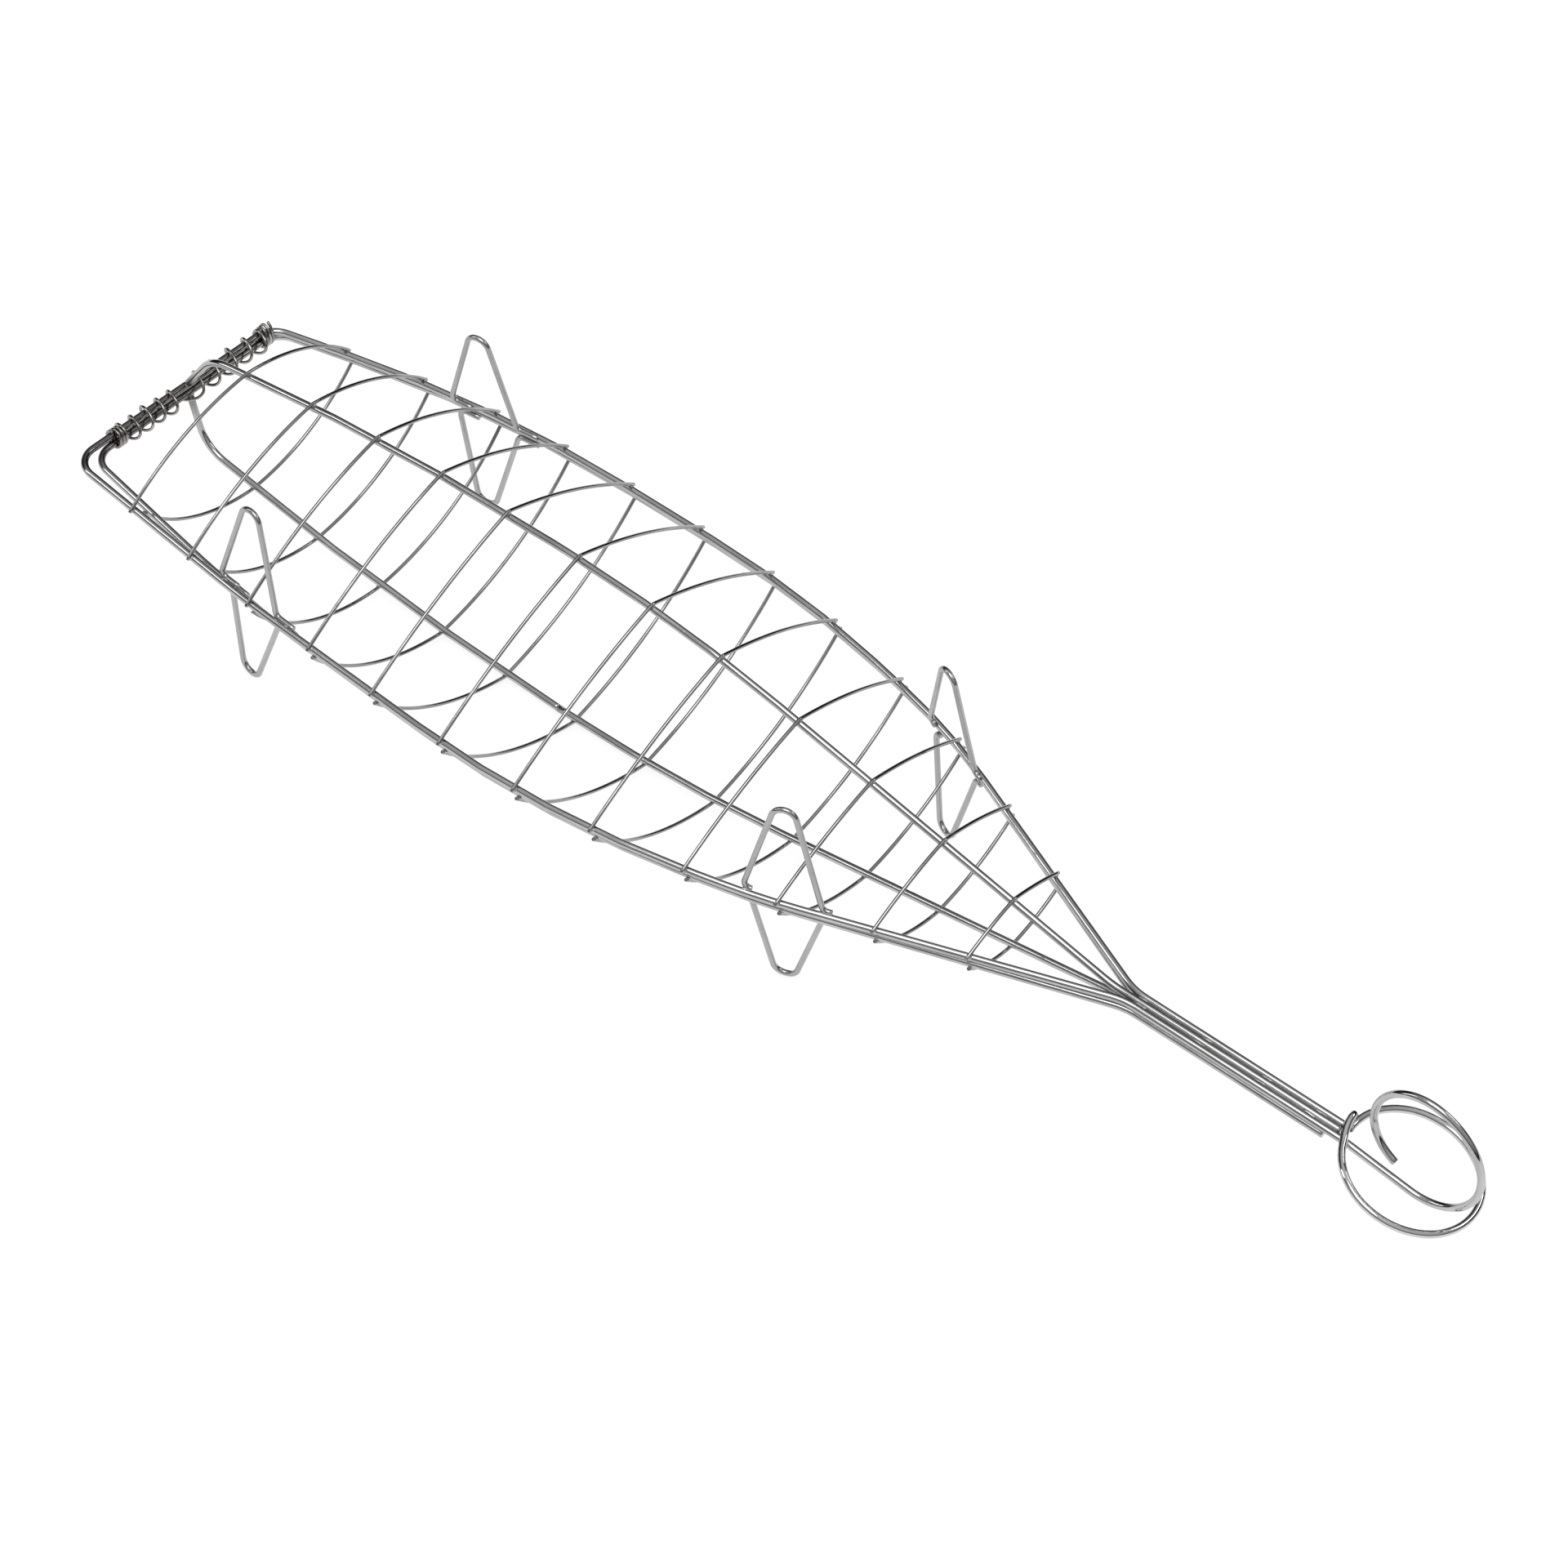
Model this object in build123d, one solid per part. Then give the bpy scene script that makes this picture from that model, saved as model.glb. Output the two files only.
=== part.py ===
"""Wire grill basket for a whole fish: two hinged wire halves, a coiled wire hinge and a lock ring.

Frame: millimetres, +Z up, +X from the mouth to the hanging eye, origin on the ground under the
middle of the closed basket. A station is the distance behind the axis of the mouth bars, and a
height is counted from the parting between the halves, outwards.
"""

import os
from math import asin, atan2, cos, hypot, pi, radians, sin, tan

from build123d import *

# Wires
FRAME_WIRE = 2.8
LEG_WIRE = 2.2
CROSS_WIRE = 1.4
HINGE_WIRE = 1.2
WELD_SINK = 0.25

# Frame of reference
MOUTH_X = -286.77
GROUND = 45.1

# The halves lie on each other with a little play; each is set over by (station, side)
RIM_LEVEL = 1.55
UPPER_SHIFT = (0.0, -0.6)
LOWER_SHIFT = (1.2, 0.9)

# Rim, seen from above: corners as (station, half width), each rounded with its own radius
RIM_CORNERS = {
    "near": [(92.7, 66.2), (236.9, 73.4), (317.1, 52.3)],
    "far": [(92.7, 70.0), (236.9, 70.7), (317.1, 53.4)],
}
RIM_RADII = [10, 480, 380, 250, 25]

# Mouth bars: half widths, and how far each bar is out of square with the basket
UPPER_MOUTH = {"near": 56.0, "far": 45.0}
LOWER_MOUTH = {"near": 49.6, "far": 45.4}
MOUTH_SKEW = 0.03

# Handle: three wires side by side in each half, set over to the near side
HANDLE_START = 437.0
HANDLE_PITCH = 2.85
HANDLE_SIDE = -3.0
UPPER_HANDLE_END = 524.0
LOWER_HANDLE_END = 518.0

# Spine, seen from the side: corners as (station, height), where the crest is the half's own rise
UPPER_RISE = 38.3
LOWER_RISE = 42.2
UPPER_FOOT = (13.0, 22.4)
LOWER_FOOT = (8.0, 24.2)
CREST = (99.4, 234.9)
NECK = 430.0
SPINE_RADII = [16, 860, 500, 40]
SPINE_SIDE = 0.6
FOOT_SINK = 0.5

# Cross wires
CROSS_STATIONS = [31.7, 63.5, 94.8, 125.6, 156.5, 189.5, 222.9, 254.8, 290.2, 323.4, 355.5, 386.7]
CROSS_STUB = 1.6
CROSS_KINK_RADIUS = 3.0
UPPER_BULGE = 0.05
LOWER_BULGE = 0.095
MOUTH_BULGE_GAIN = 1.3
MOUTH_BULGE_REACH = 150.0

# Legs, as V-shaped wires with both feet welded on the inner side of the rims
LEG_PLACES = {"front": 91.8, "rear": 323.3}
UPPER_LEG_REACH = 43.3
UPPER_LEG_SPREAD = 14.5
LOWER_LEG_SPREAD = 13.2
LEG_TIP_RADIUS = 4.6
LEG_TAILS = {"front": 9.0, "rear": 3.5}
LEG_FOOT_RADIUS = 2.6
LEG_SINK = 0.2
LEG_SEAT = 68.0

# Tips of the legs, as (distance in front of the middle, inward lean)
UPPER_TIPS = {
    "front_near": (0.5, 4.3),
    "front_far": (1.2, 6.0),
    "rear_near": (2.9, 5.6),
    "rear_far": (0.5, 8.0),
}
LOWER_TIPS = {
    "front_near": (5.0, 4.0),
    "front_far": (0.0, 1.8),
    "rear_near": (0.0, 8.5),
    "rear_far": (0.5, 1.8),
}

# Hinge coil round both mouth bars, split at the feet of the spines
COIL_RADIUS = 3.9
COIL_STATION = 0.6
COIL_ENDS = {"near": (9.5, 41.0), "far": (4.5, 38.0)}
COIL_OPEN_PITCH = 7.8
COIL_TIGHT_PITCH = 1.35
COIL_TIGHT_TURNS = 2.5

# Hanging eye: the near handle wire of the upper half, bent in its own upright plane
EYE_SIDE = HANDLE_SIDE - HANDLE_PITCH - UPPER_SHIFT[1]
SHAFT_BEND = 527.0
SHAFT_BEND_RADIUS = 40.0
EYE_START = (553.7, -1.9)
EYE_ARCS = [(20.9, 98.4), (24.3, 81.2), (18.7, 97.6), (19.2, 66.0)]

# Lock ring
RING_RADIUS = 24.4
RING_STATION = 550.4
RING_SIDE = 0.0
RING_TILT = 12.0

OUT = "parts"
os.makedirs(OUT, exist_ok=True)


def place(station, y, z):
    """A point of the closed basket in the part's frame."""
    return Vector(MOUTH_X + station, y, z + GROUND)


def tube(path, diameter, coiled=False):
    """A round wire along a path."""
    section = Plane(origin=path @ 0, z_dir=path % 0) * Circle(diameter / 2)
    return sweep(section, path=path, is_frenet=coiled)


def rounded(corners, radii, station):
    """Value and slope angle, at a station, of a run of straight lines with rounded corners."""
    for (x0, y0), (x1, y1) in zip(corners, corners[1:]):
        if x0 <= station <= x1:
            slope = atan2(y1 - y0, x1 - x0)
            value = y0 + (station - x0) * tan(slope)
    for before, corner, after, radius in zip(corners, corners[1:], corners[2:], radii):
        incoming = atan2(corner[1] - before[1], corner[0] - before[0])
        outgoing = atan2(after[1] - corner[1], after[0] - corner[0])
        reach = radius * tan(abs(outgoing - incoming) / 2)
        start = corner[0] - reach * cos(incoming)
        if start < station < corner[0] + reach * cos(outgoing):
            turn = radius if outgoing > incoming else -radius
            slope = asin(sin(incoming) + (station - start) / turn)
            value = corner[1] - reach * sin(incoming) + turn * (cos(incoming) - cos(slope))
    return value, slope


class Half:
    """One half of the basket. Heights point up in the upper half and down in the lower half."""

    def __init__(self, name, up, shift, mouth, handle_end, rise, foot, bulge, legs):
        self.name = name
        self.up = up
        self.shift = shift
        self.mouth = mouth
        self.handle_end = handle_end
        self.bulge = bulge
        self.leg_reach, self.leg_spread, self.leg_tips = legs
        self.spine_corners = [
            (0, RIM_LEVEL),
            foot,
            (CREST[0], rise),
            (CREST[1], rise),
            (NECK, RIM_LEVEL),
            (handle_end, RIM_LEVEL),
        ]

    def at(self, station, y, height):
        """A point of this half in the part's frame."""
        return place(station + self.shift[0], y + self.shift[1], self.up * height)

    def rim_corners(self, side):
        """Corners of the rim on the far side (1) or the near side (-1), as (station, half width)."""
        name = "far" if side > 0 else "near"
        mouth = (side * self.mouth[name] * MOUTH_SKEW, self.mouth[name])
        handle = HANDLE_PITCH + side * (HANDLE_SIDE - self.shift[1])
        return [mouth] + RIM_CORNERS[name] + [(HANDLE_START, handle), (self.handle_end, handle)]

    def rim_width(self, side, station):
        """Half width of the rim on one side, and its slope angle."""
        return rounded(self.rim_corners(side), RIM_RADII[1:], station)

    def spine_side(self, station):
        """Side distance of the spine: straight along the basket, then over to the handle."""
        part = min(1, max(0, (station - CREST[1]) / (NECK - CREST[1])))
        return SPINE_SIDE + (HANDLE_SIDE - SPINE_SIDE) * part - self.shift[1]

    def spine_height(self, station):
        return rounded(self.spine_corners, SPINE_RADII, station)[0]

    def write(self, node, shape):
        export_step(shape, f"{OUT}/{self.name}_{node}.step")


def eye_edges(half):
    """The hanging eye, as arcs in an upright plane, from its free end to the shaft."""
    station, height = EYE_START
    heading = atan2(height - RIM_LEVEL, station - SHAFT_BEND)
    edges = []
    for radius, turn in EYE_ARCS:
        centre = (station - radius * sin(heading), height + radius * cos(heading))
        points = []
        for step in (0, 0.5, 1):
            angle = heading + radians(turn) * step
            point = (centre[0] + radius * sin(angle), centre[1] - radius * cos(angle))
            points.append(half.at(point[0], EYE_SIDE, point[1]))
        edges.insert(0, Edge.make_three_point_arc(*reversed(points)))
        heading += radians(turn)
        station, height = point
    return edges


def rim(half):
    """The rim: one wire from handle end to handle end round the mouth, with the eye if upper."""
    far = [half.at(x, y, RIM_LEVEL) for x, y in half.rim_corners(1)]
    near = [half.at(x, -y, RIM_LEVEL) for x, y in reversed(half.rim_corners(-1))]
    radii = list(reversed(RIM_RADII[1:])) + [RIM_RADII[0]] * 2 + RIM_RADII[1:]
    if half.up < 0:
        return tube(Wire(FilletPolyline(near + far, radius=radii).edges()), FRAME_WIRE)
    shaft = [
        half.at(EYE_START[0], EYE_SIDE, EYE_START[1]),
        half.at(SHAFT_BEND, EYE_SIDE, RIM_LEVEL),
    ]
    bends = FilletPolyline(shaft + near[1:] + far, radius=[SHAFT_BEND_RADIUS] + radii)
    return tube(Wire(eye_edges(half) + list(bends.edges())), FRAME_WIRE)


def spine(half):
    """The spine: from its weld on the mouth bar, over the crest and down into the handle."""
    (x0, z0), (x1, z1) = half.spine_corners[:2]
    start = (FRAME_WIRE / 2 - FOOT_SINK) / hypot(x1 - x0, z1 - z0)
    foot = half.at(start * x1, half.spine_side(0), z0 + start * (z1 - z0))
    points = [foot] + [half.at(x, half.spine_side(x), z) for x, z in half.spine_corners[1:]]
    return tube(Wire(FilletPolyline(points, radius=SPINE_RADII).edges()), FRAME_WIRE)


def cross_wire(half, station):
    """A cross wire, bowed outwards on each side and welded over the rim and the spine."""
    top_y = half.spine_side(station)
    spacing = (FRAME_WIRE + CROSS_WIRE) / 2 - WELD_SINK
    share = half.bulge * (1 + MOUTH_BULGE_GAIN * max(0, 1 - station / MOUTH_BULGE_REACH))
    top = half.spine_height(station) + spacing
    sides = []
    for side in (1, -1):
        width = half.rim_width(side, station)[0]
        reach = width - side * top_y
        chord = hypot(reach, top - RIM_LEVEL)
        bow = 2 * atan2(2 * share * width, chord)
        slope = atan2(top - RIM_LEVEL, reach)
        flat = max(slope - bow, radians(3))
        steep = 2 * slope - flat
        kink = (top_y + side * CROSS_KINK_RADIUS * sin(flat), top - CROSS_KINK_RADIUS * (1 - cos(flat)))
        weld = (side * (width + spacing * sin(steep)), RIM_LEVEL + spacing * cos(steep))
        sides.append((side, flat, kink, weld))

    def point(y, z):
        return half.at(station, y, z)

    edges = []
    for side, flat, kink, weld in sides:
        leave = point(side * cos(flat), -sin(flat)) - point(0, 0)
        arc = Edge.make_tangent_arc(point(*kink), leave, point(*weld))
        stub = Edge.make_line(arc @ 1, arc @ 1 + (arc % 1) * CROSS_STUB)
        edges.append([arc, stub])
    cap = Edge.make_three_point_arc(point(*sides[0][2]), point(top_y, top), point(*sides[1][2]))
    path = Wire([edges[0][1], edges[0][0], cap, edges[1][0], edges[1][1]])
    return tube(path, CROSS_WIRE)


def leg(half, place_name, side_name, side):
    """A V-shaped leg whose two feet end in short tails along the rim."""
    middle = LEG_PLACES[place_name]
    tail = LEG_TAILS[place_name]
    back, lean = half.leg_tips[f"{place_name}_{side_name}"]
    width, slope = half.rim_width(side, middle)
    gap = (FRAME_WIRE + LEG_WIRE) / 2 - LEG_SINK
    inset = gap * sin(radians(LEG_SEAT))
    sit = RIM_LEVEL + gap * cos(radians(LEG_SEAT))
    drop = half.leg_reach - LEG_WIRE / 2 - sit
    origin = half.at(middle, side * (width - inset), sit)
    along = Vector(cos(slope), side * sin(slope), 0)
    tilt = atan2(lean - inset, drop)
    inward = Vector(sin(slope), -side * cos(slope), 0)
    out = Vector(0, 0, half.up) * cos(tilt) + inward * sin(tilt)
    rise = drop / cos(tilt) - LEG_TIP_RADIUS
    flank = atan2(rise, half.leg_spread) + asin(LEG_TIP_RADIUS / hypot(rise, half.leg_spread))
    peak = half.leg_spread * tan(flank)
    plan = [
        (-half.leg_spread + tail, 0),
        (-half.leg_spread, 0),
        (-back * peak / rise, peak),
        (half.leg_spread, 0),
        (half.leg_spread + tail, 0),
    ]
    points = [origin + along * u + out * v for u, v in plan]
    radii = [LEG_FOOT_RADIUS, LEG_TIP_RADIUS, LEG_FOOT_RADIUS]
    return tube(Wire(FilletPolyline(points, radius=radii).edges()), LEG_WIRE)


def coil_side(name):
    """Points of one side of the coil, from its tight end to its inner end, with y outwards."""
    inner_end, outer_end = COIL_ENDS[name]
    open_length = outer_end - COIL_TIGHT_PITCH * COIL_TIGHT_TURNS - inner_end
    open_turns = round(open_length / COIL_OPEN_PITCH)
    turns = COIL_TIGHT_TURNS + open_turns
    steps = 12
    count = round(turns * steps)
    points = []
    for i in range(count + 1):
        turn = turns - i / steps
        angle = 2 * pi * turn
        tight = max(0, turn - open_turns)
        y = inner_end + open_length * min(1, turn / open_turns) + COIL_TIGHT_PITCH * tight
        points.append((COIL_RADIUS * cos(angle), y, COIL_RADIUS * sin(angle)))
    return points


def coil_points():
    """Points of the hinge coil's axis: tight end turns, open turns, and a link past the spines."""
    far = coil_side("far")
    near = [(x, -y, -z) for x, y, z in reversed(coil_side("near"))]
    return [place(COIL_STATION + MOUTH_SKEW * y + x, y, z) for x, y, z in far + near]


def hinge_coil():
    """The hinge: one thin wire wound round both mouth bars."""
    return tube(Wire([Edge.make_spline(coil_points())]), HINGE_WIRE, coiled=True)


def lock_ring():
    """The ring that slides along the handle, tilted so that it clears the wires on both sides."""
    ring = Solid.make_torus(RING_RADIUS, FRAME_WIRE / 2)
    return Location(place(RING_STATION, RING_SIDE, 0), (0, RING_TILT, 0)) * ring


def make_halves():
    upper_legs = (UPPER_LEG_REACH, UPPER_LEG_SPREAD, UPPER_TIPS)
    lower_legs = (GROUND, LOWER_LEG_SPREAD, LOWER_TIPS)
    return [
        Half(
            "upper", 1, UPPER_SHIFT, UPPER_MOUTH, UPPER_HANDLE_END,
            UPPER_RISE, UPPER_FOOT, UPPER_BULGE, upper_legs,
        ),
        Half(
            "lower", -1, LOWER_SHIFT, LOWER_MOUTH, LOWER_HANDLE_END,
            LOWER_RISE, LOWER_FOOT, LOWER_BULGE, lower_legs,
        ),
    ]


def build():
    for half in make_halves():
        half.write("rim", rim(half))
        half.write("spine", spine(half))
        for number, station in enumerate(CROSS_STATIONS, 1):
            half.write(f"cross_wire_{number:02d}", cross_wire(half, station))
        for place_name in LEG_PLACES:
            for side_name, side in (("near", -1), ("far", 1)):
                shape = leg(half, place_name, side_name, side)
                half.write(f"leg_{place_name}_{side_name}", shape)
    export_step(hinge_coil(), f"{OUT}/hinge_coil.step")
    export_step(lock_ring(), f"{OUT}/lock_ring.step")


build()
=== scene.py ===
"""Looks of the wire grill basket: drawn steel wires, their welds, the hinge coil and the lock ring.

The wires follow the lines of the CAD model, in its frame. The hinge coil and the lock ring are the
exceptions: they lie about where the CAD has them, and are wound and bent here as they look. Lengths are
worked out in millimetres and turned into metres when a mesh is made. A station is the distance behind
the axis of the mouth bars, and a height is counted from the parting between the halves, outwards.
"""

import random
from itertools import count
from math import asin, atan2, ceil, cos, exp, hypot, pi, radians, sin, tan

import bpy
from mathutils import Matrix, Vector, noise


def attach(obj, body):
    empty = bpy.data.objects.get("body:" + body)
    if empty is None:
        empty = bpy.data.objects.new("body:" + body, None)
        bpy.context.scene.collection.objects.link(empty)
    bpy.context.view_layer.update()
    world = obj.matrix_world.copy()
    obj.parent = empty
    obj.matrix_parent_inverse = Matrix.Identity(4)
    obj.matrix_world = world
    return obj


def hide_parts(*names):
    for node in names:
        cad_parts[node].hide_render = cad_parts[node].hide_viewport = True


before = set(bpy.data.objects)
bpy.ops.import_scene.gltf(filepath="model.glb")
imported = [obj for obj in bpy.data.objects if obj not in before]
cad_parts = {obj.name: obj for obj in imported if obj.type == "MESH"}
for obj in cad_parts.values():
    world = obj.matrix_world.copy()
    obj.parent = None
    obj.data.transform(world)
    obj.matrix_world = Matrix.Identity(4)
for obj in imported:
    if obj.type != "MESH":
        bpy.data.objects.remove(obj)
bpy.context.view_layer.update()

MM = 0.001
SEED = 4

# Wires
FRAME_WIRE = 2.8
LEG_WIRE = 2.2
CROSS_WIRE = 1.4
HINGE_WIRE = 1.2
WELD_SINK = 0.25
WELD_CONTACT = 0.65
CUT_CHAMFER = 0.16
PIECE_OFFSET = 140.0

# Heat beside the welds: how far it reaches along the cross wires, the legs and the frame
CROSS_HEAT_REACH = 2.0
LEG_HEAT_REACH = 3.0
FRAME_HEAT_REACH = 2.6
HANDLE_HEAT = 0.6
FOOT_HEAT = 0.9

# Frame of reference
MOUTH_X = -286.77
GROUND = 45.1

# The halves lie on each other with a little play; each is set over by (station, side)
RIM_LEVEL = 1.55
UPPER_SHIFT = (0.0, -0.6)
LOWER_SHIFT = (1.2, 0.9)

# Rim, seen from above: corners as (station, half width), each rounded with its own radius
RIM_CORNERS = {
    "near": [(92.7, 66.2), (236.9, 73.4), (317.1, 52.3)],
    "far": [(92.7, 70.0), (236.9, 70.7), (317.1, 53.4)],
}
RIM_RADII = [10, 480, 380, 250, 25]

# Mouth bars: half widths, and how far each bar is out of square with the basket
UPPER_MOUTH = {"near": 56.0, "far": 45.0}
LOWER_MOUTH = {"near": 49.6, "far": 45.4}
MOUTH_SKEW = 0.03

# Handle: three wires side by side in each half, set over to the near side
HANDLE_START = 437.0
HANDLE_PITCH = 2.85
HANDLE_SIDE = -3.0
HANDLE_BEADS = (12, 36, 60, 84)
HANDLE_BEAD_SPREAD = 3
HANDLE_BEAD_RISE = 0.35
UPPER_HANDLE_END = 524.0
LOWER_HANDLE_END = 518.0

# Spine, seen from the side: corners as (station, height), where the crest is the half's own rise
UPPER_RISE = 38.3
LOWER_RISE = 42.2
UPPER_FOOT = (13.0, 22.4)
LOWER_FOOT = (8.0, 24.2)
CREST = (99.4, 234.9)
NECK = 430.0
SPINE_RADII = [16, 860, 500, 40]
SPINE_SIDE = 0.6
FOOT_SINK = 0.5

# Cross wires
CROSS_STATIONS = [31.7, 63.5, 94.8, 125.6, 156.5, 189.5, 222.9, 254.8, 290.2, 323.4, 355.5, 386.7]
CROSS_STUB = 1.6
CROSS_KINK_RADIUS = 3.0
UPPER_BULGE = 0.05
LOWER_BULGE = 0.095
MOUTH_BULGE_GAIN = 1.3
MOUTH_BULGE_REACH = 150.0

# Legs, as V-shaped wires with both feet welded on the inner side of the rims
LEG_PLACES = {"front": 91.8, "rear": 323.3}
UPPER_LEG_REACH = 43.3
UPPER_LEG_SPREAD = 14.5
LOWER_LEG_SPREAD = 13.2
LEG_TIP_RADIUS = 4.6
LEG_TAILS = {"front": 9.0, "rear": 3.5}
LEG_FOOT_RADIUS = 2.6
LEG_SINK = 0.2
LEG_SEAT = 68.0

# Tips of the legs, as (distance in front of the middle, inward lean)
UPPER_TIPS = {
    "front_near": (0.5, 4.3),
    "front_far": (1.2, 6.0),
    "rear_near": (2.9, 5.6),
    "rear_far": (0.5, 8.0),
}
LOWER_TIPS = {
    "front_near": (5.0, 4.0),
    "front_far": (0.0, 1.8),
    "rear_near": (0.0, 8.5),
    "rear_far": (0.5, 1.8),
}

# Hanging eye: the near handle wire of the upper half, bent in its own upright plane
EYE_SIDE = HANDLE_SIDE - HANDLE_PITCH - UPPER_SHIFT[1]
SHAFT_BEND = 527.0
SHAFT_BEND_RADIUS = 40.0
EYE_START = (553.7, -1.9)
EYE_ARCS = [(20.9, 98.4), (24.3, 81.2), (18.7, 97.6), (19.2, 66.0)]

# Lock ring
RING_RADIUS = 24.4
RING_STATION = 550.4
RING_SIDE = 0.0
RING_TILT = 12.0
RING_ROLL = -4.0
RING_LAP_START = 176.0
RING_LAP = 11.0
RING_LAP_EASE = 30.0
RING_LAP_OVER = 2.2
RING_LAP_UNDER = 0.7
RING_END_OUT = 2.0

# Hinge coil: where its turns cross over the mouth bars, from the far end to the near end
COIL_STATION = 0.6
COIL_HEIGHT = 3.75
COIL_TIGHT_WIDTH = 3.2
COIL_INNER_WIDTH = 5.2
COIL_OUTER_WIDTH = 3.9
COIL_FAR_CROSSINGS = [42.4, 41.0, 39.6, 38.0, 31.0, 22.6, 13.8, 5.4]
COIL_NEAR_CROSSINGS = [-8.6, -14.6, -21.0, -27.6, -33.6, -35.1, -36.6, -38.1]
COIL_CROSSINGS = COIL_FAR_CROSSINGS + COIL_NEAR_CROSSINGS
COIL_LINK_TURN = len(COIL_FAR_CROSSINGS) - 1
COIL_LINK = [(0.25, 3.0), (0.5, -2.2), (0.75, -6.8)]
COIL_TIGHT_TURNS = 3
COIL_UNEVENNESS = 0.25
COIL_STEPS = 28

# The far end turns stand higher on top, to leave more room for the bend of the upper rim
COIL_FLARE_FROM = 36.2
COIL_FLARE = 0.055

# Darker colour round the mouth bars: where it ends, and over what length it fades
MOUTH_DARK_END = 5.5
MOUTH_DARK_FADE = 3.0
COIL_DARKENING = 0.25

# What the steel sees, as (height, brightness), where 0.5 is level; and the way to the far side
NEAR_SKY = [(0.0, 0.5), (0.48, 0.15), (0.51, 0.0), (0.57, 0.02), (0.64, 0.3), (0.8, 0.5), (1.0, 0.8)]
FAR_SKY = [(0.0, 0.5), (0.48, 0.1), (0.51, 0.0), (0.74, 0.01), (0.84, 0.25), (1.0, 0.8)]
FAR_WAY = (-0.57, 0.82, 0)
SIDE_BLEND = 0.35

# Mesh fineness
THICK_SIDES = 20
THIN_SIDES = 14
ARC_STEP = radians(5)
LONGEST_STEP = 2.5


def place(station, y, z):
    """A point of the closed basket in the part's frame."""
    return Vector((MOUTH_X + station, y, z + GROUND))


def rounded(corners, radii, station):
    """Value and slope angle, at a station, of a run of straight lines with rounded corners."""
    for (x0, y0), (x1, y1) in zip(corners, corners[1:]):
        if x0 <= station <= x1:
            slope = atan2(y1 - y0, x1 - x0)
            value = y0 + (station - x0) * tan(slope)
    for before, corner, after, radius in zip(corners, corners[1:], corners[2:], radii):
        incoming = atan2(corner[1] - before[1], corner[0] - before[0])
        outgoing = atan2(after[1] - corner[1], after[0] - corner[0])
        reach = radius * tan(abs(outgoing - incoming) / 2)
        start = corner[0] - reach * cos(incoming)
        if start < station < corner[0] + reach * cos(outgoing):
            turn = radius if outgoing > incoming else -radius
            slope = asin(sin(incoming) + (station - start) / turn)
            value = corner[1] - reach * sin(incoming) + turn * (cos(incoming) - cos(slope))
    return value, slope


def run(points):
    """The same line with points close enough together for a smooth wire."""
    dense = [points[0]]
    for a, b in zip(points, points[1:]):
        parts = max(1, ceil((b - a).length / LONGEST_STEP))
        dense += [a.lerp(b, i / parts) for i in range(1, parts + 1)]
    return dense


def bent(corners, radii):
    """A line through corners, each bent with its own radius."""
    points = [corners[0]]
    for before, corner, after, radius in zip(corners, corners[1:], corners[2:], radii):
        arriving = (corner - before).normalized()
        leaving = (after - corner).normalized()
        angle = arriving.angle(leaving)
        across = (leaving - arriving * leaving.dot(arriving)).normalized()
        start = corner - arriving * radius * tan(angle / 2)
        steps = max(3, ceil(angle / ARC_STEP))
        for i in range(steps + 1):
            a = angle * i / steps
            points.append(start + arriving * radius * sin(a) + across * radius * (1 - cos(a)))
    points.append(corners[-1])
    return run(points)


def tangent_arc(start, direction, end):
    """An arc that leaves start in a direction and reaches end."""
    chord = end - start
    direction = direction.normalized()
    half_angle = direction.angle(chord)
    across = (chord - direction * chord.dot(direction)).normalized()
    radius = chord.length / (2 * sin(half_angle))
    steps = max(6, ceil(chord.length / LONGEST_STEP))
    points = []
    for i in range(steps + 1):
        a = 2 * half_angle * i / steps
        points.append(start + direction * radius * sin(a) + across * radius * (1 - cos(a)))
    return points


class Half:
    """One half of the basket. Heights point up in the upper half and down in the lower half."""

    def __init__(self, name, up, shift, mouth, handle_end, rise, foot, bulge, legs):
        self.name = name
        self.body = f"{name}_half"
        self.up = up
        self.shift = shift
        self.mouth = mouth
        self.handle_end = handle_end
        self.bulge = bulge
        self.leg_reach, self.leg_spread, self.leg_tips = legs
        self.spine_corners = [
            (0, RIM_LEVEL),
            foot,
            (CREST[0], rise),
            (CREST[1], rise),
            (NECK, RIM_LEVEL),
            (handle_end, RIM_LEVEL),
        ]

    def at(self, station, y, height):
        """A point of this half in the part's frame."""
        return place(station + self.shift[0], y + self.shift[1], self.up * height)

    def rim_corners(self, side):
        """Corners of the rim on the far side (1) or the near side (-1), as (station, half width)."""
        name = "far" if side > 0 else "near"
        mouth = (side * self.mouth[name] * MOUTH_SKEW, self.mouth[name])
        handle = HANDLE_PITCH + side * (HANDLE_SIDE - self.shift[1])
        return [mouth] + RIM_CORNERS[name] + [(HANDLE_START, handle), (self.handle_end, handle)]

    def rim_width(self, side, station):
        """Half width of the rim on one side, and its slope angle."""
        return rounded(self.rim_corners(side), RIM_RADII[1:], station)

    def spine_side(self, station):
        """Side distance of the spine: straight along the basket, then over to the handle."""
        part = min(1, max(0, (station - CREST[1]) / (NECK - CREST[1])))
        return SPINE_SIDE + (HANDLE_SIDE - SPINE_SIDE) * part - self.shift[1]

    def spine_height(self, station):
        return rounded(self.spine_corners, SPINE_RADII, station)[0]


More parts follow.
